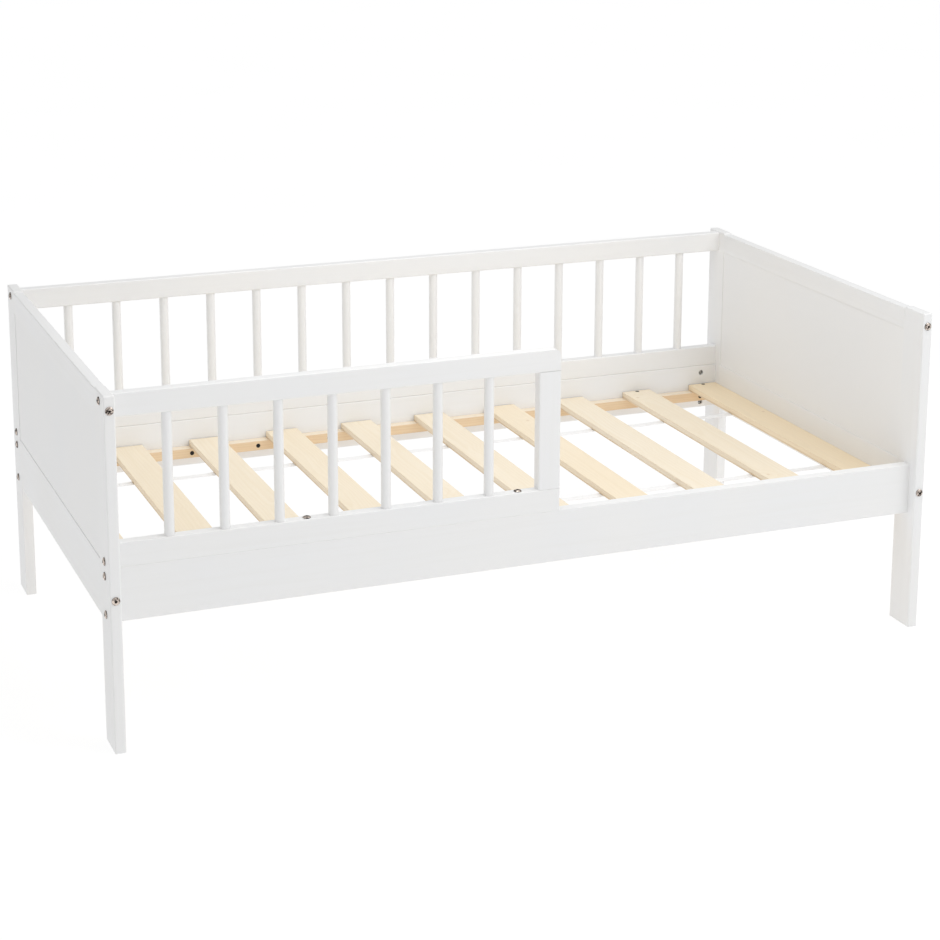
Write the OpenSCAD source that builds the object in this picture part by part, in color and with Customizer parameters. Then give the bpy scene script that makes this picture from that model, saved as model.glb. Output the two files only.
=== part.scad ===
// Toddler bed of painted pine: two panelled ends, two side rails, a full guard
// along the back, a half guard at the front and a slatted base on ledgers.
// The bed stands on z = 0, its length runs along X and its front faces -Y.

/* [Mattress bay] */
// Clear length between the two ends
bay_l = 1404; // [1250:1:1700]
// Clear width between the two side rails
bay_w = 700; // [600:1:900]

/* [Posts] */
// Thickness of a post along the bed's length
post_t = 18; // [16:0.5:28]
// Width of a post across the bed
post_w = 60; // [50:1:90]
// Height of a post, which is the height of the bed
post_h = 572.5; // [570:0.5:700]
// Radius of the eased edges on a post
post_ease = 2.5; // [1:0.25:4]

/* [Rails] */
// Thickness of the side rails and of the guard rails
rail_t = 20; // [18:1:24]
// Height of a side rail
side_rail_h = 88; // [84:1:110]
// Height of the underside of the side rails above the floor
side_rail_z = 208; // [150:1:230]
// Radius of the eased edges on rails and stiles
rail_ease = 2; // [1:0.25:3]

/* [Guards] */
// Height of the lower rail of each guard
guard_low_h = 38.5; // [30:0.5:48]
// Height of the upper rail of each guard and end
top_rail_h = 37; // [36:1:44]
// Height of the top of the upper rails above the floor
top_rail_top = 570; // [540:1:570]
// Diameter of a spindle
spindle_d = 16; // [12:0.5:16]
// Number of spindles in the back guard
back_spindles = 15; // [10:1:15]
// Number of spindles in the front guard
front_spindles = 7; // [4:1:7]
// From the end of a guard opening to the axis of its first spindle
spindle_inset = 84; // [76:1:100]
// Length of the front guard
front_guard_l = 734; // [640:1:900]
// Width of the stile that closes the front guard
stile_w = 38; // [34:1:50]
// Radius of the free upper corner of the front guard
guard_corner_r = 14; // [6:1:20]

/* [Ends] */
// Height of the lower rail of an end
end_low_h = 93; // [88:1:100]
// Depth of a panel's faces behind those of the frame round it
panel_recess = 1; // [1:0.25:4]
// Thickness of the tongue round a panel's edge
tongue_t = 6; // [5:0.5:8]
// Depth of the grooves that hold the tongue
groove_d = 8; // [5:0.5:9]

/* [Slatted base] */
// Number of slats
slat_count = 10; // [6:1:10]
// Width of a slat
slat_w = 61; // [50:1:70]
// Thickness of a slat
slat_t = 12; // [10:0.5:16]
// Gap between a slat's end and the side rail
slat_end_gap = 2; // [1:0.5:5]
// Thickness of a ledger, away from its side rail
ledger_t = 20; // [16:1:25]
// Height of a ledger
ledger_h = 18; // [16:1:20]
// Height of a ledger's underside above that of the side rail
ledger_rise = 20; // [18:1:30]
// Width of a webbing tape
tape_w = 18; // [15:1:30]
// Place of the tape nearer the front, across the bed
front_tape_y = -187; // [-220:1:-100]
// Place of the tape nearer the back, across the bed
back_tape_y = 170; // [100:1:220]

/* [Fasteners] */
// Thread diameter of the bolts and connector screws
bolt_d = 6; // [5:0.5:6.5]
// Diameter of a bolt's head
bolt_head_d = 13; // [10:0.5:15]
// Height of a bolt's head
bolt_head_h = 2.75; // [2.75:0.25:4.5]
// Diameter of a barrel nut
barrel_d = 10; // [9:0.5:12]

/* [Hidden] */
$fn = 48;
eps = 0.01;

// Overall size, centred on the origin
bed_l = bay_l + 2 * post_t;
rail_y = bay_w / 2 + rail_t / 2;
bed_w = 2 * rail_y + post_w;

// Heights, from the floor up; the lower end rails sit a step below the side rails
rail_step = 2;
side_rail_top = side_rail_z + side_rail_h;
guard_low_top = side_rail_top + guard_low_h;
top_rail_z = top_rail_top - top_rail_h;
end_low_z = side_rail_z - rail_step;
end_low_top = end_low_z + end_low_h;
ledger_z = side_rail_z + ledger_rise;
slat_z = ledger_z + ledger_h;

// Radius of the edges that meet at a flush joint
joint_ease = 0.6;
// Ends: the panels fill the frames but for a shallow recess and a thin joint
panel_t = post_t - 2 * panel_recess;
panel_joint = 0.3;
end_rail_l = bed_w - 2 * post_w;

// Slats share the bay's length evenly, the outer two against the ends
slat_pitch = (bay_l - slat_w) / (slat_count - 1);
slat_l = bay_w - 2 * slat_end_gap;
slat_ease = 1.5;
ledger_ease = 1;
// The slats that are screwed to the ledgers; the tapes space the others
screwed_slats = [0, slat_count - 2, slat_count - 1];

// Spindle sockets and the stile's tenons
socket_depth = 12;
socket_gap = 0.1;
spindle_l = top_rail_z - guard_low_top + 2 * socket_depth - 2;
tenon_t = 10;
tenon_w = 22;
tenon_l = 12;

// Places of the guards along the bed
front_guard_x = -bay_l / 2;
front_guard_end = front_guard_x + front_guard_l;
stile_x = front_guard_end - stile_w;
back_pitch = (bay_l - 2 * spindle_inset) / (back_spindles - 1);
front_pitch = (front_guard_l - stile_w - 2 * spindle_inset) / (front_spindles - 1);

// Heights of the bolts: two pairs along the bed at each post, and one bolt
// across the bed into each end rail, clear of those pairs
rail_bolt_rise = 31;
rail_bolt_z = side_rail_z + side_rail_h / 2 - rail_step;
rail_bolt_zs = [rail_bolt_z - rail_bolt_rise, rail_bolt_z + rail_bolt_rise];
guard_low_bolt_rise = 8.75;
guard_top_bolt_inset = 11.75;
guard_bolt_zs = [side_rail_top + guard_low_bolt_rise, top_rail_top - guard_top_bolt_inset];
end_low_bolt_rise = 44;
end_top_bolt_rise = 16.5;
end_bolt_zs = [end_low_z + end_low_bolt_rise, top_rail_z + end_top_bolt_rise];
bolt_hole_d = bolt_d + 0.8;
rail_bolt_l = 60;
connector_l = 80;
socket_key = 4;
barrel_inset = 32.7;
barrel_l = 13;
barrel_hole_l = rail_t / 2 + barrel_l / 2 + 1;

// Small screws, staples and the tape
ledger_screw_l = ledger_t + 10;
slat_screw_l = slat_t + 6;
small_screw_d = 4;
small_head_d = 8;
small_head_h = 2.4;
// Shares of the bay's length at which the ledger screws were driven, by eye
ledger_screw_shares = [
    0.030, 0.114, 0.213, 0.304, 0.404, 0.489, 0.580, 0.677, 0.776, 0.880, 0.969
];
ledger_screw_z = ledger_z + ledger_h / 2;
slat_screw_y = bay_w / 2 - 7;
guard_screw_xs = [
    front_guard_x + spindle_inset + 2.5 * front_pitch,
    front_guard_end - 71
];
tape_t = 1;
tape_l = bay_l - 30;
staple_wire = 0.7;
staple_crown = 11;
staple_leg = 7;

// Colours
paint = [0.93, 0.93, 0.92];
pine = [0.94, 0.85, 0.69];
ledger_pine = [0.86, 0.66, 0.42];
nickel = [0.74, 0.68, 0.63];
zinc = [0.72, 0.72, 0.7];
black_oxide = [0.12, 0.12, 0.12];
webbing = [0.95, 0.95, 0.94];

// ---- Shapes that several parts share ----

// Rectangle from the origin, with round corners of radius r
module rounded_rect(w, h, r) {
    translate([r, 0]) square([w - 2 * r, h]);
    translate([0, r]) square([w, h - 2 * r]);
    for (x = [r, w - r], y = [r, h - r])
        translate([x, y]) circle(r);
}

// Rectangle whose two lower corners are eased by low_r and its upper two by top_r
module two_ease_rect(w, h, low_r, top_r) {
    lap = max(low_r, top_r);
    rounded_rect(w, h / 2 + lap, low_r);
    translate([0, h / 2 - lap]) rounded_rect(w, h / 2 + lap, top_r);
}

// Bar along X with its four long edges eased
module bar_x(l, w, h, r) {
    rotate([90, 0, 90]) linear_extrude(l) rounded_rect(w, h, r);
}

// Bar along Y with its four long edges eased
module bar_y(l, w, h, r) {
    translate([0, l, 0]) rotate([90, 0, 0]) linear_extrude(l) rounded_rect(w, h, r);
}

// Bars along X and along Y whose lower and upper edges are eased differently
module two_ease_bar_x(l, w, h, low_r, top_r) {
    rotate([90, 0, 90]) linear_extrude(l) two_ease_rect(w, h, low_r, top_r);
}

module two_ease_bar_y(l, w, h, low_r, top_r) {
    translate([0, l, 0]) rotate([90, 0, 0]) linear_extrude(l) two_ease_rect(w, h, low_r, top_r);
}

// Hole from the origin along +Z, started a little early
module hole(d, depth) {
    translate([0, 0, -1]) cylinder(h = depth + 1, d = d);
}

// Domed bolt with a hex socket: head above z = 0, shank below
module bolt(l) {
    rim = 1;
    difference() {
        union() {
            rotate_extrude() polygon([
                [0, 0],
                [bolt_head_d / 2, 0],
                [bolt_head_d / 2, rim],
                [bolt_head_d / 2 - 1.2, bolt_head_h * 0.72],
                [bolt_head_d / 2 - 3.2, bolt_head_h],
                [0, bolt_head_h]
            ]);
            translate([0, 0, -l + 1]) cylinder(h = l - 1 + eps, d = bolt_d);
            translate([0, 0, -l]) cylinder(h = 1 + eps, d1 = bolt_d - 1.6, d2 = bolt_d);
        }
        translate([0, 0, bolt_head_h - 2.6])
            cylinder(h = 3, d = socket_key / cos(30), $fn = 6);
    }
}

// Countersunk wood screw with a cross recess: head flush with z = 0
module wood_screw(l) {
    difference() {
        rotate_extrude() polygon([
            [0, 0],
            [small_head_d / 2, 0],
            [small_head_d / 2, -0.4],
            [small_screw_d / 2, -small_head_h],
            [small_screw_d / 2, -l + 4],
            [0.3, -l],
            [0, -l]
        ]);
        for (a = [0, 90])
            rotate(a) translate([-2.2, -0.5, -1.6]) cube([4.4, 1, 2]);
    }
}

// Seat of a wood screw, wide enough that the screw doesn't touch it
module wood_screw_hole(l) {
    rotate_extrude() polygon([
        [0, 1],
        [small_head_d / 2 + 0.1, 1],
        [small_head_d / 2 + 0.1, -0.5],
        [small_screw_d / 2 + 0.1, -small_head_h - 0.1],
        [small_screw_d / 2 + 0.1, -l - 0.5],
        [0, -l - 0.5]
    ]);
}

// ---- Where fasteners go; the same places drill the holes ----

// Children at each side rail bolt's seat, +Z outwards along the bed
module at_rail_bolts() {
    for (end = [-1, 1], side = [-1, 1], z = rail_bolt_zs)
        translate([end * bed_l / 2, side * rail_y, z])
            rotate([0, end * 90, 0]) children();
}

// Children at each guard bolt's seat; the front guard has no right end post
module at_guard_bolts() {
    for (place = [[-1, -1], [-1, 1], [1, 1]], z = guard_bolt_zs)
        translate([place[0] * bed_l / 2, place[1] * rail_y, z])
            rotate([0, place[0] * 90, 0]) children();
}

// Children at each end bolt's seat, +Z outwards across the bed
module at_end_bolts() {
    for (end = [-1, 1], side = [-1, 1], z = end_bolt_zs)
        translate([end * (bed_l - post_t) / 2, side * bed_w / 2, z])
            rotate([-side * 90, 0, 0]) children();
}

// Children at each barrel nut's hole in a side rail's inner face, +Z inwards
module at_barrels() {
    for (end = [-1, 1], side = [-1, 1], z = rail_bolt_zs)
        translate([end * (bay_l / 2 - barrel_inset), side * bay_w / 2, z])
            rotate([side * 90, 0, 0]) children();
}

// Children at each ledger screw's seat, +Z inwards
module at_ledger_screws() {
    for (share = ledger_screw_shares, side = [-1, 1])
        translate([
            (share - 0.5) * bay_l,
            side * (bay_w / 2 - ledger_t),
            ledger_screw_z
        ])
            rotate([side * 90, 0, 0]) children();
}

// Children at each slat screw's seat
module at_slat_screws() {
    for (i = screwed_slats, side = [-1, 1])
        translate([slat_mid(i), side * slat_screw_y, slat_z + slat_t]) children();
}

// Children where the front guard is screwed down to the side rail
module at_guard_screws() {
    for (x = guard_screw_xs)
        translate([x, -rail_y, guard_low_top]) children();
}

// Children at the two staples under slat i
module at_staples(i) {
    for (y = [front_tape_y, back_tape_y])
        translate([slat_mid(i), y, slat_z - tape_t]) children();
}

function slat_mid(i) = -bay_l / 2 + slat_w / 2 + i * slat_pitch;

// Cuts for every fastener that passes through wood
module fastener_holes() {
    at_rail_bolts() translate([0, 0, -rail_bolt_l - 2]) hole(bolt_hole_d, rail_bolt_l + 3);
    at_guard_bolts() connector_hole();
    at_end_bolts() connector_hole();
}

module connector_hole() {
    translate([0, 0, -connector_l - 1]) hole(bolt_hole_d, connector_l + 2);
}

// ---- Ends ----

// One post; end and side are -1 or 1
module post(end, side) {
    color(paint) difference() {
        translate([end * (bed_l - post_t) / 2 - post_t / 2, side * bed_w / 2, 0])
            mirror([0, side > 0 ? 1 : 0, 0]) post_blank();
        panel_groove(end);
        fastener_holes();
    }
}

// A post whose outer side lies on y = 0. It is well eased there, and nearly square
// on its +Y side, where the end rails join it flush
module post_blank() {
    intersection() {
        bar_x(post_t, post_w, post_h, post_ease);
        bar_y(post_w, post_t, post_h, post_ease);
        linear_extrude(post_h) two_ease_rect(post_t, post_w, post_ease, joint_ease);
    }
}

// Slab on the middle plane of an end's frame, past the frame's opening by reach
module frame_slab(end, t, reach) {
    l = end_rail_l + 2 * reach;
    h = top_rail_z - end_low_top + 2 * reach;
    translate([end * (bed_l - post_t) / 2 - t / 2, -l / 2, end_low_top - reach])
        cube([t, l, h]);
}

// Grooves round the inside of an end's frame
module panel_groove(end) {
    frame_slab(end, tongue_t, groove_d);
}

// A thick field between the rails and posts, with a tongue in their grooves
module end_panel(end) {
    play = 0.5;
    color(paint) {
        frame_slab(end, panel_t, -panel_joint);
        frame_slab(end, tongue_t, groove_d - play);
    }
}

// Rail between the posts of an end, from z upwards, its lower edges eased by low_r
module end_rail(end, z, h, low_r) {
    color(paint) difference() {
        translate([end * (bed_l - post_t) / 2 - post_t / 2, -end_rail_l / 2, z])
            two_ease_bar_y(end_rail_l, post_t, h, low_r, rail_ease);
        panel_groove(end);
        fastener_holes();
    }
}

// ---- Side rails and ledgers ----

// The front rail's upper edges are nearly square, for the guard screwed down on it
module side_rail(side) {
    color(paint) difference() {
        translate([-bay_l / 2, side * rail_y - rail_t / 2, side_rail_z])
            two_ease_bar_x(bay_l, rail_t, side_rail_h, rail_ease, side < 0 ? joint_ease : rail_ease);
        fastener_holes();
        at_barrels() translate([0, 0, -barrel_hole_l]) hole(barrel_d + 0.2, barrel_hole_l + 1);
        at_ledger_screws() wood_screw_hole(ledger_screw_l);
        if (side < 0)
            at_guard_screws() connector_hole();
    }
}

module ledger(side) {
    y = side > 0 ? bay_w / 2 - ledger_t : -bay_w / 2;
    color(ledger_pine) difference() {
        translate([-bay_l / 2, y, ledger_z]) bar_x(bay_l, ledger_t, ledger_h, ledger_ease);
        at_ledger_screws() wood_screw_hole(ledger_screw_l);
        at_slat_screws() wood_screw_hole(slat_screw_l);
    }
}

// ---- Guards ----

// Sockets for n spindles, the first at x, opening at height z
module spindle_sockets(n, x, pitch, y, z) {
    for (i = [0:n - 1])
        translate([x + i * pitch, y, z - socket_depth])
            cylinder(h = 2 * socket_depth, d = spindle_d + 2 * socket_gap);
}

module back_guard_rail(z, h, sockets_z) {
    color(paint) difference() {
        translate([-bay_l / 2, rail_y - rail_t / 2, z]) bar_x(bay_l, rail_t, h, rail_ease);
        spindle_sockets(back_spindles, -bay_l / 2 + spindle_inset, back_pitch, rail_y, sockets_z);
        fastener_holes();
    }
}

module stile_mortise(z) {
    translate([stile_x + (stile_w - tenon_w) / 2, -rail_y - tenon_t / 2, z - tenon_l - 0.5])
        cube([tenon_w, tenon_t, 2 * tenon_l + 1]);
}

// Profile of the front guard's upper rail, seen from the front
module guard_top_profile() {
    r = guard_corner_r;
    l = front_guard_l;
    square([l, top_rail_h - r]);
    square([l - r, top_rail_h]);
    translate([l - r, top_rail_h - r]) circle(r, $fn = 64);
}

module front_guard_top_rail() {
    color(paint) difference() {
        intersection() {
            translate([front_guard_x, -rail_y + rail_t / 2, top_rail_z])
                rotate([90, 0, 0]) linear_extrude(rail_t) guard_top_profile();
            translate([front_guard_x, -rail_y - rail_t / 2, top_rail_z])
                bar_x(front_guard_l, rail_t, top_rail_h, rail_ease);
            translate([front_guard_x - 10, -rail_y - rail_t / 2, top_rail_z])
                linear_extrude(top_rail_h) rounded_rect(front_guard_l + 10, rail_t, rail_ease);
        }
        front_sockets(top_rail_z);
        stile_mortise(top_rail_z);
        fastener_holes();
    }
}

module front_sockets(z) {
    spindle_sockets(front_spindles, front_guard_x + spindle_inset, front_pitch, -rail_y, z);
}

module front_guard_low_rail() {
    color(paint) difference() {
        intersection() {
            translate([front_guard_x, -rail_y - rail_t / 2, side_rail_top])
                two_ease_bar_x(front_guard_l, rail_t, guard_low_h, joint_ease, rail_ease);
            translate([front_guard_x - 10, -rail_y - rail_t / 2, side_rail_top])
                linear_extrude(guard_low_h) rounded_rect(front_guard_l + 10, rail_t, rail_ease);
        }
        front_sockets(guard_low_top);
        stile_mortise(guard_low_top);
        fastener_holes();
        at_guard_screws() connector_hole();
    }
}

module front_guard_stile() {
    h = top_rail_z - guard_low_top;
    color(paint) {
        translate([stile_x, -rail_y - rail_t / 2, guard_low_top])
            linear_extrude(h) rounded_rect(stile_w, rail_t, rail_ease);
        translate([stile_x + (stile_w - tenon_w) / 2, -rail_y - tenon_t / 2, guard_low_top - tenon_l])
            cube([tenon_w, tenon_t, h + 2 * tenon_l]);
    }
}

// One spindle with its axis at x, y
module spindle(x, y) {
    z = (guard_low_top + top_rail_z - spindle_l) / 2;
    tip = 1;
    color(paint) translate([x, y, z]) rotate_extrude() polygon([
        [0, 0],
        [spindle_d / 2 - tip, 0],
        [spindle_d / 2, tip],
        [spindle_d / 2, spindle_l - tip],
        [spindle_d / 2 - tip, spindle_l],
        [0, spindle_l]
    ]);
}

module back_spindle(i) {
    spindle(-bay_l / 2 + spindle_inset + i * back_pitch, rail_y);
}

module front_spindle(i) {
    spindle(front_guard_x + spindle_inset + i * front_pitch, -rail_y);
}

// ---- Slatted base ----

module slat(i) {
    color(pine) difference() {
        translate([slat_mid(i) - slat_w / 2, -slat_l / 2, slat_z])
            bar_y(slat_l, slat_w, slat_t, slat_ease);
        at_slat_screws() wood_screw_hole(slat_screw_l);
        at_staples(i) staple();
    }
}

// Webbing tape under the slats, spacing them
module tape(y) {
    color(webbing) difference() {
        translate([-tape_l / 2, y - tape_w / 2, slat_z - tape_t])
            cube([tape_l, tape_w, tape_t]);
        for (i = [0:slat_count - 1])
            at_staples(i) staple();
    }
}

// ---- Fasteners ----

module rail_bolts() {
    color(nickel) at_rail_bolts() bolt(rail_bolt_l);
}

module connector_screws() {
    color(nickel) {
        at_guard_bolts() bolt(connector_l);
        at_end_bolts() bolt(connector_l);
        at_guard_screws() bolt(connector_l);
    }
}

// Cylinder nut with a cross bore for its bolt and a slot in its visible end
module barrel_nuts() {
    recess = rail_t / 2 - barrel_l / 2;
    color(zinc) at_barrels() translate([0, 0, -recess]) difference() {
        translate([0, 0, -barrel_l]) cylinder(h = barrel_l, d = barrel_d);
        translate([-barrel_d, 0, -barrel_l / 2])
            rotate([0, 90, 0]) cylinder(h = 2 * barrel_d, d = bolt_d + 0.2);
        translate([-barrel_d, -0.6, -1]) cube([2 * barrel_d, 1.2, 2]);
    }
}

module ledger_screws() {
    color(black_oxide) at_ledger_screws() wood_screw(ledger_screw_l);
}

module slat_screws() {
    color(black_oxide) at_slat_screws() wood_screw(slat_screw_l);
}

// One staple holds each tape to each slat, its crown under the tape
module tape_staples() {
    color(zinc)
        for (i = [0:slat_count - 1])
            at_staples(i) staple();
}

module staple() {
    translate([-staple_crown / 2, -staple_wire / 2, -staple_wire])
        cube([staple_crown, staple_wire, staple_wire]);
    for (x = [-staple_crown / 2, staple_crown / 2 - staple_wire])
        translate([x, -staple_wire / 2, -staple_wire])
            cube([staple_wire, staple_wire, staple_leg]);
}

// ---- The bed ----

post(-1, -1);  // post_front_left
post(-1, 1);  // post_back_left
post(1, -1);  // post_front_right
post(1, 1);  // post_back_right
end_rail(-1, top_rail_z, top_rail_h, joint_ease);  // end_top_rail_left
end_rail(-1, end_low_z, end_low_h, rail_ease);  // end_low_rail_left
end_panel(-1);  // end_panel_left
end_rail(1, top_rail_z, top_rail_h, joint_ease);  // end_top_rail_right
end_rail(1, end_low_z, end_low_h, rail_ease);  // end_low_rail_right
end_panel(1);  // end_panel_right
side_rail(-1);  // side_rail_front
side_rail(1);  // side_rail_back
ledger(-1);  // ledger_front
ledger(1);  // ledger_back
for (i = [1:slat_count])
    slat(i - 1);
back_guard_rail(top_rail_z, top_rail_h, top_rail_z);  // back_guard_top_rail
back_guard_rail(side_rail_top, guard_low_h, guard_low_top);  // back_guard_low_rail
for (i = [1:back_spindles])
    back_spindle(i - 1);
front_guard_top_rail();
front_guard_low_rail();
front_guard_stile();
for (i = [1:front_spindles])
    front_spindle(i - 1);
tape(front_tape_y);  // tape_front
tape(back_tape_y);  // tape_back
rail_bolts();
barrel_nuts();
connector_screws();
ledger_screws();
slat_screws();
tape_staples();
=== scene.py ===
"""Looks for the toddler bed: painted and bare pine, woven tape, nickel bolts, and a plain white studio."""

import math
import random

import bmesh
import bpy
from mathutils import Matrix, Vector


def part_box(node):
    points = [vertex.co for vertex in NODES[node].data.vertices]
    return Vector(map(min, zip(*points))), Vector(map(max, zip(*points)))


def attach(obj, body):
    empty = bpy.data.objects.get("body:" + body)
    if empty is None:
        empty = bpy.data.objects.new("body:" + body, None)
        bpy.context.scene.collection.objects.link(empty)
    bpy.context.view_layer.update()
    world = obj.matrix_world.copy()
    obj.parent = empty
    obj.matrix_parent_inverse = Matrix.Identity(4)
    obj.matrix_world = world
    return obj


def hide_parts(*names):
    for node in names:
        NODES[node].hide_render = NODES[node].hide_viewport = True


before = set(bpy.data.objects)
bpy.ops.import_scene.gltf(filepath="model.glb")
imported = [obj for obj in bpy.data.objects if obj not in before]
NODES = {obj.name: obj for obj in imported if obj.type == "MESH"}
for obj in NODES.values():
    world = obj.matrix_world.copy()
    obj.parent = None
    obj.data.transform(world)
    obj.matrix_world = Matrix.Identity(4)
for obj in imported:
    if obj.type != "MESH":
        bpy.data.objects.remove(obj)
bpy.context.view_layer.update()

MM = 0.001
BODY = "root"


# ---- Node materials ----


class Shader:
    """One node material. Its methods add nodes and return the sockets that later nodes read."""

    def __init__(self, name):
        self.material = bpy.data.materials.new(name)
        self.material.use_nodes = True
        self.tree = self.material.node_tree
        self.tree.nodes.clear()
        self.surface = self.node("ShaderNodeBsdfPrincipled")
        self.node("ShaderNodeOutputMaterial", {"Surface": self.surface.outputs["BSDF"]})

    def node(self, kind, values=None, **settings):
        made = self.tree.nodes.new(kind)
        for key, value in settings.items():
            setattr(made, key, value)
        for key, value in (values or {}).items():
            self.feed(made.inputs[key], value)
        return made

    def feed(self, socket, value):
        if isinstance(value, bpy.types.NodeSocket):
            self.tree.links.new(value, socket)
        else:
            socket.default_value = value

    def set(self, **values):
        """Sets the shader's own inputs; an underscore in a keyword stands for a space."""
        for key, value in values.items():
            self.feed(self.surface.inputs[key.replace("_", " ")], value)

    def maths(self, operation, a, b=0.0):
        return self.node("ShaderNodeMath", {0: a, 1: b}, operation=operation).outputs[0]

    def add(self, a, b):
        return self.maths("ADD", a, b)

    def less(self, a, b):
        return self.maths("SUBTRACT", a, b)

    def times(self, a, b):
        return self.maths("MULTIPLY", a, b)

    def vector(self, operation, a, b=(0.0, 0.0, 0.0)):
        return self.node("ShaderNodeVectorMath", {0: a, 1: b}, operation=operation).outputs[0]

    def combine(self, x, y, z):
        return self.node("ShaderNodeCombineXYZ", {0: x, 1: y, 2: z}).outputs[0]

    def split(self, vector):
        return self.node("ShaderNodeSeparateXYZ", {0: vector}).outputs

    def point(self):
        """The shaded point, in the bed's own frame."""
        return self.node("ShaderNodeTexCoord").outputs["Object"]

    def noise(self, vector, scale=1.0, detail=2.0, roughness=0.5):
        values = {"Vector": vector, "Scale": scale, "Detail": detail, "Roughness": roughness}
        return self.node("ShaderNodeTexNoise", values).outputs["Fac"]

    def fade(self, value, start, end, low=0.0, high=1.0):
        """low up to start, high past end, and a smooth step between them."""
        values = {"Value": value, "From Min": start, "From Max": end, "To Min": low, "To Max": high}
        made = self.node("ShaderNodeMapRange", values, interpolation_type="SMOOTHSTEP")
        return made.outputs["Result"]

    def mix(self, share, a, b):
        """a where share is 0 and b where it is 1."""
        values = {0: share, 6: a, 7: b}
        return self.node("ShaderNodeMix", values, data_type="RGBA").outputs[2]

    def property(self, name, output="Vector"):
        values = dict(attribute_type="OBJECT", attribute_name=name)
        return self.node("ShaderNodeAttribute", **values).outputs[output]

    def bump(self, height, depth):
        """Tilts the surface by height, a socket from 0 to 1 that stands for depth in metres."""
        values = {"Height": height, "Distance": depth, "Strength": 1.0}
        self.set(Normal=self.node("ShaderNodeBump", values).outputs["Normal"])


def colour(red, green, blue):
    return (red, green, blue, 1.0)


# ---- Where a point lies in its own piece ----

# The bed's axes along a piece's grain and the two ways across it, by the axis that the grain follows
GRAIN_AXES = {"x": (0, 1, 2), "y": (1, 0, 2), "z": (2, 0, 1)}
SEED_SHIFT = 7.3  # metres along the grain between a seed of 0 and a seed of 1


def place_in_piece(sh):
    """The point measured from the middle of its own piece, and the piece's seed."""
    local = sh.vector("SUBTRACT", sh.point(), sh.property("piece_middle"))
    return local, sh.property("piece_seed", "Fac")


def grain_place(sh, local, seed, grain):
    """The point along the grain, moved on by the seed, and its places the two ways across."""
    parts = sh.split(local)
    along, across, up = (parts[axis] for axis in GRAIN_AXES[grain])
    return sh.add(along, sh.times(seed, SEED_SHIFT)), across, up


def stretched(sh, wood, lengthwise, crosswise):
    """A vector for noise: features 1/lengthwise m along the grain and 1/crosswise m across it."""
    along, across, up = wood
    return sh.combine(sh.times(along, lengthwise), sh.times(across, crosswise), sh.times(up, crosswise))


def edge_nearness(sh, local, reach):
    """1 on the arrises of a box-shaped piece, falling to 0 at reach metres from them."""
    size = sh.vector("ABSOLUTE", local)
    gap = sh.split(sh.vector("SUBTRACT", sh.property("piece_half"), size))
    nearest = sh.maths("MINIMUM", sh.maths("MINIMUM", gap[0], gap[1]), gap[2])
    farthest = sh.maths("MAXIMUM", sh.maths("MAXIMUM", gap[0], gap[1]), gap[2])
    total = sh.add(sh.add(gap[0], gap[1]), gap[2])
    second = sh.less(sh.less(total, nearest), farthest)
    return sh.fade(second, 0.0, reach, low=1.0, high=0.0)


# ---- White paint ----

PAINT_COOL = colour(0.866, 0.870, 0.874)
PAINT_WARM = colour(0.880, 0.878, 0.872)
PAINT_GRAIN = colour(0.850, 0.846, 0.836)
PAINT_EDGE = colour(0.905, 0.898, 0.882)
EDGE_WEAR_REACH = 3.2 * MM
EDGE_WEAR = 0.55
EDGE_WEAR_POLISH = -0.08
WOOD_RELIEF = 0.12 * MM
PANEL_EDGE_REACH = 16 * MM
PANEL_EDGE_TONE = 0.3
PANEL_RELIEF = 0.1 * MM


def painted_wood(name, grain):
    """Satin white paint over pine: the grain just shows through, and edges are a little warmer."""
    sh = Shader(name)
    local, seed = place_in_piece(sh)
    wood = grain_place(sh, local, seed, grain)

    growth = sh.noise(stretched(sh, wood, lengthwise=3.5, crosswise=95.0), detail=3.0, roughness=0.55)
    fibre = sh.noise(stretched(sh, wood, lengthwise=22.0, crosswise=820.0), detail=3.0, roughness=0.6)
    cloud = sh.noise(sh.combine(*wood), scale=5.0, detail=3.0)
    peel = sh.noise(local, scale=620.0, detail=1.0)
    scuffs = sh.noise(local, scale=60.0, detail=3.0, roughness=0.6)
    worn = sh.times(edge_nearness(sh, local, EDGE_WEAR_REACH), sh.fade(scuffs, 0.42, 0.66))

    white = sh.mix(sh.fade(cloud, 0.3, 0.7), PAINT_COOL, PAINT_WARM)
    grained = sh.mix(sh.fade(growth, 0.44, 0.72, high=0.38), white, PAINT_GRAIN)
    streaked = sh.mix(sh.fade(fibre, 0.55, 0.78, high=0.2), grained, PAINT_GRAIN)
    sh.set(Base_Color=sh.mix(sh.times(worn, EDGE_WEAR), streaked, PAINT_EDGE))

    base = sh.fade(cloud, 0.25, 0.75, low=0.36, high=0.46)
    rough = sh.add(base, sh.times(sh.less(fibre, 0.5), 0.14))
    sh.set(Roughness=sh.add(rough, sh.times(worn, EDGE_WEAR_POLISH)), Specular_IOR_Level=0.4)

    height = sh.add(sh.times(fibre, 0.45), sh.times(growth, 0.4))
    sh.bump(sh.add(height, sh.times(peel, 0.15)), WOOD_RELIEF)
    return sh.material


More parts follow.
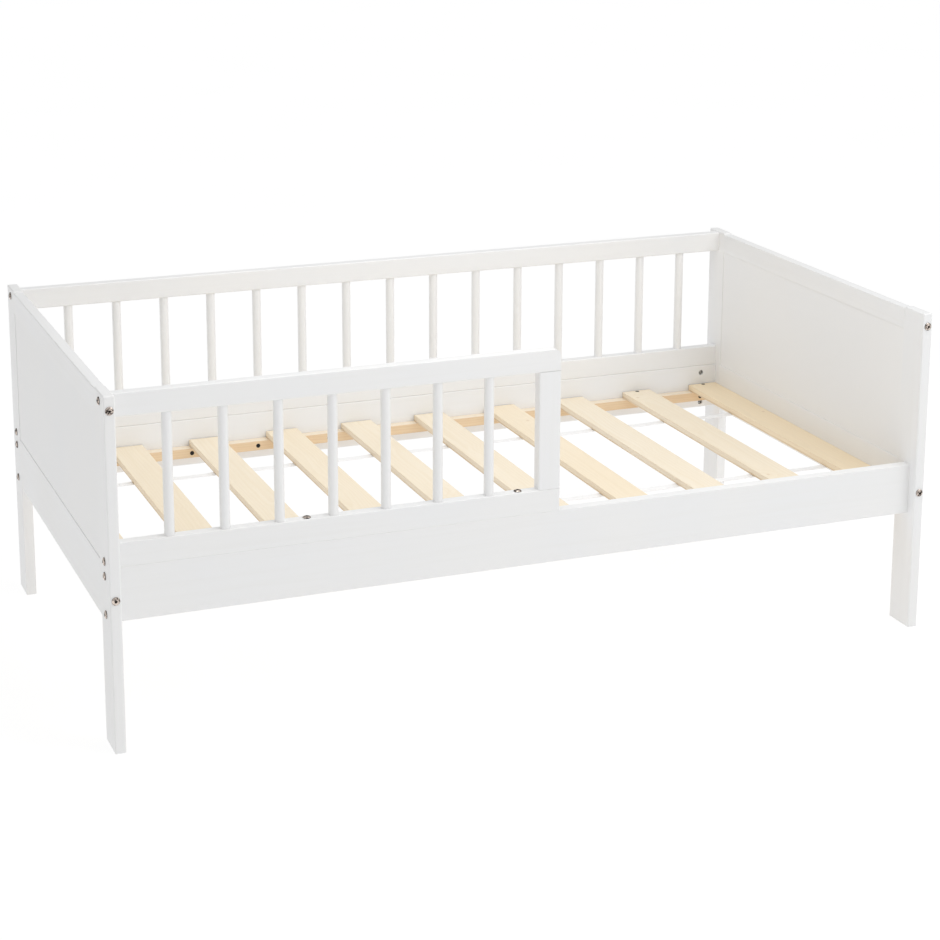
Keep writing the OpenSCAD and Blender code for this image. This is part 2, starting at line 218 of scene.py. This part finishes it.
def painted_panel(name):
    """White paint rolled on a thin smooth panel, with a faint stipple."""
    sh = Shader(name)
    local, seed = place_in_piece(sh)
    cloud = sh.noise(sh.vector("ADD", local, sh.combine(seed, seed, seed)), scale=3.5, detail=3.0)
    stipple = sh.noise(local, scale=520.0, detail=3.0, roughness=0.65)
    orange_peel = sh.noise(local, scale=150.0)
    edge = edge_nearness(sh, local, PANEL_EDGE_REACH)

    white = sh.mix(sh.fade(cloud, 0.3, 0.7), PAINT_COOL, PAINT_WARM)
    speckled = sh.mix(sh.fade(stipple, 0.5, 0.75, high=0.25), white, PAINT_GRAIN)
    sh.set(Base_Color=sh.mix(sh.times(edge, PANEL_EDGE_TONE), speckled, PAINT_EDGE))
    sh.set(Roughness=sh.fade(stipple, 0.3, 0.7, low=0.42, high=0.5), Specular_IOR_Level=0.35)
    sh.bump(sh.add(sh.times(stipple, 0.55), sh.times(orange_peel, 0.45)), PANEL_RELIEF)
    return sh.material


# ---- Bare pine ----

# Each wood's tones: pale, middling, golden heartwood, latewood and knots
SLAT_TONES = (
    colour(0.905, 0.826, 0.690),
    colour(0.890, 0.800, 0.650),
    colour(0.915, 0.765, 0.545),
    colour(0.830, 0.700, 0.500),
    colour(0.600, 0.420, 0.250),
)
# The ledger's tones are darker and oranger than the slats': its own pine tone with painted shade from
# under the slats
LEDGER_TONES_IN_SHADE = (
    colour(0.790, 0.610, 0.405),
    colour(0.755, 0.555, 0.350),
    colour(0.735, 0.525, 0.315),
    colour(0.650, 0.425, 0.230),
    colour(0.350, 0.180, 0.080),
)
SLAT_RING_GAP = 4.2 * MM
LEDGER_RING_GAP = 3.4 * MM
# Strength of the saw marks and painted shade on the slats' sides
SLAT_SIDE_MARKS_AND_SHADE = 0.95
# Painted light: above this height a ledger's top face takes the slats' pale tone, lighter than its shaded
# sides
LEDGER_LIT_TOP = 9 * MM
LIT_TOP_BLEND = 1.2 * MM

# The pith lies below a board, to one side or the other; a swing's rate sets how it follows the seed
PITH_SIDE_RATE, PITH_SIDE = 51.0, 34 * MM
PITH_RISE_RATE, PITH_RISE, PITH_LEVEL = 87.0, 14 * MM, -36 * MM
RING_SWEEP = 26 * MM
RING_RIPPLE = 1.6 * MM

# The rings part round one place in each stretch of board, and a few boards have a small knot there
KNOTS_PER_METRE = 1.9
KNOT_LENGTHWISE = 0.40
KNOT_SIDE_RATE, KNOT_SIDE = 133.0, 19 * MM
KNOT_CORE, KNOT_RIM = 2.2 * MM, 3.6 * MM
KNOT_SEED, KNOT_SEED_END = 0.7, 0.72
KNOT_DARKNESS = 0.35
PARTING = 5 * MM
PARTING_START, PARTING_END = 2 * MM, 26 * MM

LATEWOOD_DARKNESS = 0.26
PINE_EDGE_REACH = 2.4 * MM
PINE_EDGE_TONE = 0.35
PINE_RELIEF = 0.22 * MM


def swing(sh, seed, rate, reach):
    """A length from -reach to reach that differs from piece to piece."""
    return sh.times(sh.maths("SINE", sh.times(seed, rate)), reach)


def knot_distance(sh, wood, seed):
    """How far a point is from the nearest knot's middle, with the knot drawn out along the grain."""
    along, across, _ = wood
    ahead = sh.less(sh.maths("FRACT", sh.times(along, KNOTS_PER_METRE)), 0.5)
    aside = sh.less(across, swing(sh, seed, KNOT_SIDE_RATE, KNOT_SIDE))
    lengthwise = sh.maths("POWER", sh.times(ahead, KNOT_LENGTHWISE), 2.0)
    return sh.maths("SQRT", sh.add(lengthwise, sh.maths("POWER", aside, 2.0)))


def ring_radius(sh, wood, seed, knot_gap):
    """How far a point is from the pith, bent by the way the tree grew."""
    _, across, up = wood
    pith_up = sh.add(swing(sh, seed, PITH_RISE_RATE, PITH_RISE), PITH_LEVEL)
    side = sh.less(across, swing(sh, seed, PITH_SIDE_RATE, PITH_SIDE))
    rise = sh.less(up, pith_up)
    radius = sh.maths("SQRT", sh.add(sh.times(side, side), sh.times(rise, rise)))
    sweep = sh.noise(stretched(sh, wood, lengthwise=2.4, crosswise=6.0))
    ripple = sh.noise(stretched(sh, wood, lengthwise=16.0, crosswise=50.0))
    bent = sh.add(sh.add(radius, sh.times(sweep, RING_SWEEP)), sh.times(ripple, RING_RIPPLE))
    return sh.add(bent, sh.fade(knot_gap, PARTING_START, PARTING_END, low=PARTING, high=0.0))


def side_marks_and_shade(sh, wood, grain):
    """Up to 1 on a board's rough sawn sides: saw marks, with painted shade that darkens the whole side and
    makes it darkest along its lower arris.
    """
    _, across, up = wood
    half_width = sh.split(sh.property("piece_half"))[GRAIN_AXES[grain][1]]
    side_gap = sh.less(half_width, sh.maths("ABSOLUTE", across))
    torn = sh.noise(stretched(sh, wood, lengthwise=5.0, crosswise=420.0), detail=3.0, roughness=0.7)
    # Painted shade: the sides are darker towards their lower arris
    lower_shade = sh.fade(up, -5 * MM, 0.0, low=1.0, high=0.2)
    rough = sh.times(lower_shade, sh.fade(torn, 0.4, 0.6, low=0.45))
    return sh.times(sh.fade(side_gap, 0.3 * MM, 1.2 * MM, low=1.0, high=0.0), rough)


def bare_pine(name, grain, tones, ring_gap, lit_top=0.0, side_marks_and_shade_strength=0.0):
    """Planed pine sawn from a log: rings round a pith below the board, so its faces and ends agree.

    The wood is painted pale, as painted light on a top face, from lit_top metres above the piece's
    middle, and side_marks_and_shade_strength is the strength of the saw marks and painted shade on
    its sides. Either is left out at 0.
    """
    pale, mid, golden, late, knot_tone = tones
    sh = Shader(name)
    local, seed = place_in_piece(sh)
    wood = grain_place(sh, local, seed, grain)
    along, across, up = wood

    knot_gap = knot_distance(sh, wood, seed)
    ring = sh.maths("FRACT", sh.maths("DIVIDE", ring_radius(sh, wood, seed, knot_gap), ring_gap))
    latewood = sh.times(sh.fade(ring, 0.25, 0.9), sh.fade(ring, 0.93, 1.0, low=1.0, high=0.0))
    fibre = sh.noise(stretched(sh, wood, lengthwise=14.0, crosswise=900.0), detail=3.0, roughness=0.6)
    streak = sh.noise(stretched(sh, wood, lengthwise=3.0, crosswise=160.0), detail=3.0, roughness=0.55)
    cloud = sh.noise(sh.combine(sh.times(along, 3.0), sh.times(across, 14.0), seed))

    plain = sh.mix(sh.fade(cloud, 0.25, 0.75), pale, mid)
    body = sh.mix(sh.property("piece_gold", "Fac"), plain, golden)
    ringed = sh.mix(sh.times(latewood, LATEWOOD_DARKNESS), body, late)
    streaked = sh.mix(sh.fade(streak, 0.45, 0.8, high=0.26), ringed, late)
    fibred = sh.mix(sh.fade(fibre, 0.5, 0.8, high=0.28), streaked, late)
    knotty = sh.fade(seed, KNOT_SEED, KNOT_SEED_END, high=KNOT_DARKNESS)
    knot = sh.times(sh.fade(knot_gap, KNOT_CORE, KNOT_RIM, low=1.0, high=0.0), knotty)
    tone = sh.mix(knot, fibred, knot_tone)
    # Painted light: a ledger's top face is painted pale, lighter than its shaded sides
    if lit_top:
        tone = sh.mix(sh.fade(up, lit_top - LIT_TOP_BLEND, lit_top, high=0.8), tone, SLAT_TONES[0])
    # Saw marks and painted shade darken the slats' sides
    if side_marks_and_shade_strength:
        tone = sh.mix(sh.times(side_marks_and_shade(sh, wood, grain), side_marks_and_shade_strength), tone, knot_tone)
    edge = edge_nearness(sh, local, PINE_EDGE_REACH)
    sh.set(Base_Color=sh.mix(sh.times(edge, PINE_EDGE_TONE), tone, late))

    rough = sh.fade(fibre, 0.3, 0.7, low=0.5, high=0.62)
    sh.set(Roughness=sh.add(rough, sh.times(latewood, -0.08)), Specular_IOR_Level=0.3)
    height = sh.add(sh.times(fibre, 0.5), sh.times(latewood, 0.3))
    sh.bump(sh.add(height, sh.times(streak, 0.2)), PINE_RELIEF)
    return sh.material


# ---- Metal ----

NICKEL = colour(0.740, 0.640, 0.570)
NICKEL_DULL = colour(0.050, 0.042, 0.038)
ZINC = colour(0.560, 0.560, 0.550)
ZINC_DULL = colour(0.360, 0.360, 0.350)
BLACK = colour(0.018, 0.017, 0.016)
BLACK_WORN = colour(0.050, 0.047, 0.044)
# Painted shade for the sockets and rims of the bolts and screws
PAINTED_HOLLOW_SHADE = colour(0.014, 0.012, 0.010)
HOLLOW_REACH = 3 * MM
SCRATCHES_PER_METRE = (2600.0, 700.0, 2600.0)
METAL_RELIEF = 0.02 * MM


def plated_metal(name, bright, dull, polish, metallic=1.0):
    """Plated steel: cloudy plating, fine scratches, and painted shade darkening its hollows. polish is its
    roughness.
    """
    sh = Shader(name)
    point = sh.point()
    cloud = sh.noise(point, scale=330.0, detail=3.0, roughness=0.6)
    scratch = sh.noise(sh.vector("MULTIPLY", point, SCRATCHES_PER_METRE), roughness=0.6)
    pits = sh.noise(point, scale=1500.0)
    tone = sh.mix(sh.fade(cloud, 0.45, 0.60), bright, dull)
    scratched = sh.mix(sh.fade(scratch, 0.55, 0.8, high=0.45), tone, dull)
    # Painted shade: ambient occlusion turns the colour dark in the sockets and round the rims, where less
    # light reaches
    openness = sh.node("ShaderNodeAmbientOcclusion", {"Distance": HOLLOW_REACH}).outputs["AO"]
    hollow_shade = sh.fade(openness, 0.45, 0.95, low=1.0, high=0.0)
    sh.set(Base_Color=sh.mix(hollow_shade, scratched, PAINTED_HOLLOW_SHADE), Metallic=metallic)
    rough = sh.fade(cloud, 0.3, 0.7, low=polish, high=polish + 0.14)
    sh.set(Roughness=sh.add(rough, sh.times(scratch, 0.08)))
    sh.bump(sh.add(sh.times(scratch, 0.5), sh.times(pits, 0.5)), METAL_RELIEF)
    return sh.material


# ---- Webbing ----

TAPE_WHITE = colour(0.935, 0.936, 0.940)
# Painted shade where the threads dip in the weave
TAPE_WEAVE_SHADE = colour(0.870, 0.871, 0.876)
TAPE_SOIL = colour(0.915, 0.911, 0.903)
TAPE_THREAD = 1.3 * MM
WEFT_THREAD = 0.8  # the weft's pitch, as a share of the warp's
TAPE_RELIEF = 0.12 * MM


def woven_tape(name, thread):
    """Plain-woven white tape: threads over and under with painted shade where they dip, fuzz and slight
    soiling.
    """
    sh = Shader(name)
    x, y, z = sh.split(sh.point())
    warp = sh.maths("SINE", sh.times(x, 2 * math.pi / thread))
    weft = sh.maths("SINE", sh.times(y, 2 * math.pi / (WEFT_THREAD * thread)))
    weave = sh.add(sh.times(sh.times(warp, weft), 0.5), 0.5)
    whole = sh.combine(x, y, z)
    fuzz = sh.noise(whole, scale=1800.0, roughness=0.6)
    cloud = sh.noise(whole, scale=18.0, detail=3.0)
    # Painted shade: the weave is darker where its threads dip
    tone = sh.mix(weave, TAPE_WEAVE_SHADE, TAPE_WHITE)
    sh.set(Base_Color=sh.mix(sh.fade(cloud, 0.4, 0.75, high=0.4), tone, TAPE_SOIL))
    sh.set(Roughness=sh.fade(fuzz, 0.3, 0.7, low=0.75, high=0.92))
    sh.set(Sheen_Weight=0.25, Specular_IOR_Level=0.25)
    sh.bump(sh.add(sh.times(weave, 0.75), sh.times(fuzz, 0.25)), TAPE_RELIEF)
    return sh.material


# ---- Every CAD node's material ----

MATERIALS = {
    "paint_x": painted_wood("white_paint_along_x", "x"),
    "paint_y": painted_wood("white_paint_along_y", "y"),
    "paint_z": painted_wood("white_paint_along_z", "z"),
    "panel": painted_panel("white_paint_panel"),
    "slat": bare_pine("slat_pine", "y", SLAT_TONES, SLAT_RING_GAP, side_marks_and_shade_strength=SLAT_SIDE_MARKS_AND_SHADE),
    "ledger": bare_pine("ledger_pine", "x", LEDGER_TONES_IN_SHADE, LEDGER_RING_GAP, lit_top=LEDGER_LIT_TOP),
    "nickel": plated_metal("satin_nickel", NICKEL, NICKEL_DULL, polish=0.2),
    "zinc": plated_metal("dull_zinc", ZINC, ZINC_DULL, polish=0.38),
    "black": plated_metal("black_phosphate", BLACK, BLACK_WORN, polish=0.45, metallic=0.6),
    "tape": woven_tape("woven_tape", TAPE_THREAD),
}

# The first of these that a node's name starts with gives its material
NODE_LOOKS = [
    ("post_", "paint_z"),
    ("end_panel_", "panel"),
    ("end_", "paint_y"),
    ("side_rail_", "paint_x"),
    ("back_spindle_", "paint_z"),
    ("front_spindle_", "paint_z"),
    ("front_guard_stile", "paint_z"),
    ("back_guard_", "paint_x"),
    ("front_guard_", "paint_x"),
    ("slat_screws", "black"),
    ("ledger_screws", "black"),
    ("slat_", "slat"),
    ("ledger_", "ledger"),
    ("tape_staples", "zinc"),
    ("tape_", "tape"),
    ("rail_bolts", "nickel"),
    ("connector_screws", "nickel"),
    ("barrel_nuts", "zinc"),
]

# How far each of these slats was sawn from golden heartwood, from 0 to 1
GOLDEN_SHARES = {
    "slat_2": 0.3, "slat_3": 0.2, "slat_4": 0.3, "slat_5": 0.15, "slat_6": 0.2,
    "slat_7": 0.45, "slat_8": 0.1, "slat_9": 0.2, "slat_10": 0.95,
}
PIECE_SEED = 11
SEED_RANGE = (0.05, 0.95)


def dress(piece, look, seed):
    """Gives a piece its material and the measures that the material reads."""
    low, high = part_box(piece.name)
    piece["piece_middle"] = [float(v) for v in (low + high) / 2]
    piece["piece_half"] = [float(v) for v in (high - low) / 2]
    piece["piece_seed"] = seed
    piece["piece_gold"] = GOLDEN_SHARES.get(piece.name, 0.0)
    piece.data.materials.clear()
    piece.data.materials.append(MATERIALS[look])


seeds = random.Random(PIECE_SEED)
for node_name in sorted(NODES):
    look = next(value for start, value in NODE_LOOKS if node_name.startswith(start))
    dress(NODES[node_name], look, round(seeds.uniform(*SEED_RANGE), 3))


# ---- Webbing tapes, which sag a little between the slats ----

TAPE_SAG = 0.9 * MM
SAG_RANGE = (0.5, 1.2)  # times TAPE_SAG
DRIFT_RANGE = (-0.7, 0.7)  # millimetres to the side
TWIST_RANGE = (-0.05, 0.05)  # radians
TAPE_STEPS = 8
TAPE_ROUND = 0.3 * MM
TAPE_CROWN = 0.9  # the thickness halfway out from the middle, as a share of the most
TAPE_SEED = 5


def slat_spans():
    """Where each slat starts and ends along the bed, from left to right."""
    names = [n for n in NODES if n.startswith("slat_") and n != "slat_screws"]
    return sorted((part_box(n)[0].x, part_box(n)[1].x) for n in names)


def tape_route(start, end, under, spans, draws):
    """Points along a tape's middle: x, the drift in y, the height and a slight twist."""
    route = [(start, 0.0, under, 0.0)]
    for (_, left), (right, _) in zip(spans, spans[1:]):
        drift = draws.uniform(*DRIFT_RANGE) * MM
        sag = TAPE_SAG * draws.uniform(*SAG_RANGE)
        twist = draws.uniform(*TWIST_RANGE)
        for step in range(TAPE_STEPS + 1):
            t = step / TAPE_STEPS
            hump = 4 * t * (1 - t)
            route.append((left + t * (right - left), drift * hump, under - sag * hump, twist * hump))
    route.append((end, 0.0, under, 0.0))
    return route


def tape_section(half_width, half_thick):
    """A flat section with rounded selvedges, as points round it: to the side and up."""
    crown = TAPE_CROWN * half_thick
    top = [
        (-half_width, 0.0), (-half_width + TAPE_ROUND, half_thick), (-half_width / 2, crown),
        (0.0, half_thick), (half_width / 2, crown), (half_width - TAPE_ROUND, half_thick),
    ]
    return top + [(-side, -rise) for side, rise in top]


def make_tape(node_name, draws):
    """A flat tape with rounded selvedges, replacing the plain strip of the same name."""
    low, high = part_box(node_name)
    middle_y, under = (low.y + high.y) / 2, (low.z + high.z) / 2
    section = tape_section((high.y - low.y) / 2, (high.z - low.z) / 2)
    mesh = bmesh.new()
    rings = []
    for x, drift, z, twist in tape_route(low.x, high.x, under, slat_spans(), draws):
        cos, sin = math.cos(twist), math.sin(twist)
        rings.append([
            mesh.verts.new((x, middle_y + drift + side * cos - rise * sin, z + side * sin + rise * cos))
            for side, rise in section
        ])
    count = len(section)
    for ring, following in zip(rings, rings[1:]):
        for i in range(count):
            after = (i + 1) % count
            mesh.faces.new((ring[i], ring[after], following[after], following[i]))
    mesh.faces.new(list(reversed(rings[0])))
    mesh.faces.new(rings[-1])
    bmesh.ops.recalc_face_normals(mesh, faces=mesh.faces)
    data = bpy.data.meshes.new(node_name + "_woven")
    mesh.to_mesh(data)
    mesh.free()
    data.materials.append(MATERIALS["tape"])
    piece = bpy.data.objects.new(node_name + "_woven", data)
    bpy.context.scene.collection.objects.link(piece)
    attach(piece, BODY)
    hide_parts(node_name)


tape_draws = random.Random(TAPE_SEED)
for tape_name in ("tape_front", "tape_back"):
    make_tape(tape_name, tape_draws)


# ---- Studio: a white floor, a white sky and two large soft lights ----

WHITE = colour(1.0, 1.0, 1.0)
FLOOR_REACH = 30.0
FLOOR_SIDES = 96
FLOOR_TONES = colour(0.21, 0.21, 0.21), colour(0.23, 0.23, 0.23)
FLOOR_GLOW = 0.83
SKY_LOW = 0.28
SKY_HIGH = 0.95


def make_floor():
    """A wide pale disc that glows enough to show no shadow line."""
    mesh = bmesh.new()
    bmesh.ops.create_circle(mesh, cap_ends=True, radius=FLOOR_REACH, segments=FLOOR_SIDES)
    data = bpy.data.meshes.new("studio_floor")
    mesh.to_mesh(data)
    mesh.free()
    floor = bpy.data.objects.new("studio_floor", data)
    bpy.context.scene.collection.objects.link(floor)
    sh = Shader("studio_floor")
    tone = sh.mix(sh.noise(sh.point(), scale=2.0, detail=3.0), *FLOOR_TONES)
    sh.set(Base_Color=tone, Roughness=0.85, Specular_IOR_Level=0.1)
    sh.set(Emission_Color=WHITE, Emission_Strength=FLOOR_GLOW)
    data.materials.append(sh.material)


def make_sky():
    """A white sky, dim at the horizon and bright overhead."""
    world = bpy.data.worlds.new("studio_sky")
    bpy.context.scene.world = world
    world.use_nodes = True
    nodes, links = world.node_tree.nodes, world.node_tree.links
    direction = nodes.new("ShaderNodeTexCoord")
    parts = nodes.new("ShaderNodeSeparateXYZ")
    ramp = nodes.new("ShaderNodeMapRange")
    ramp.inputs["To Min"].default_value = SKY_LOW
    ramp.inputs["To Max"].default_value = SKY_HIGH
    links.new(direction.outputs["Generated"], parts.inputs["Vector"])
    links.new(parts.outputs["Z"], ramp.inputs["Value"])
    links.new(ramp.outputs["Result"], nodes["Background"].inputs["Strength"])
    nodes["Background"].inputs["Color"].default_value = WHITE


def make_light(name, place, target, across, watts):
    """A round soft light at place that faces target."""
    lamp = bpy.data.lights.new(name, "AREA")
    lamp.shape = "DISK"
    lamp.size = across
    lamp.energy = watts
    light = bpy.data.objects.new(name, lamp)
    light.visible_camera = False
    light.location = place
    light.rotation_euler = (Vector(target) - Vector(place)).to_track_quat("-Z", "Y").to_euler()
    bpy.context.scene.collection.objects.link(light)


make_floor()
make_sky()
make_light("key_light", place=(1.7, -2.0, 2.4), target=(0.0, 0.0, 0.3), across=2.2, watts=24)
make_light("overhead_light", place=(-0.05, -0.34, 1.55), target=(0.15, 0.10, 0.3), across=1.0, watts=4.4)


# ---- Camera: left of the bed's front and above it ----

CAMERA_PLACE = (-1.381, -3.497, 1.478)
CAMERA_TURN = math.radians(21.84)
CAMERA_DIP = math.radians(13.11)
CAMERA_ROLL = math.radians(0.22)
CAMERA_LENS = 84.29
CAMERA_SENSOR = 36.0
CAMERA_SHIFT = -0.2


def make_camera():
    data = bpy.data.cameras.new("camera")
    data.lens = CAMERA_LENS
    data.sensor_width = CAMERA_SENSOR
    data.shift_y = CAMERA_SHIFT
    camera = bpy.data.objects.new("camera", data)
    bpy.context.scene.collection.objects.link(camera)
    aimed = Matrix.Rotation(-CAMERA_TURN, 4, "Z") @ Matrix.Rotation(math.pi / 2 - CAMERA_DIP, 4, "X")
    turned = aimed @ Matrix.Rotation(CAMERA_ROLL, 4, "Z")
    camera.matrix_world = Matrix.Translation(CAMERA_PLACE) @ turned
    bpy.context.scene.camera = camera


make_camera()
bpy.context.scene.view_settings.view_transform = "Standard"
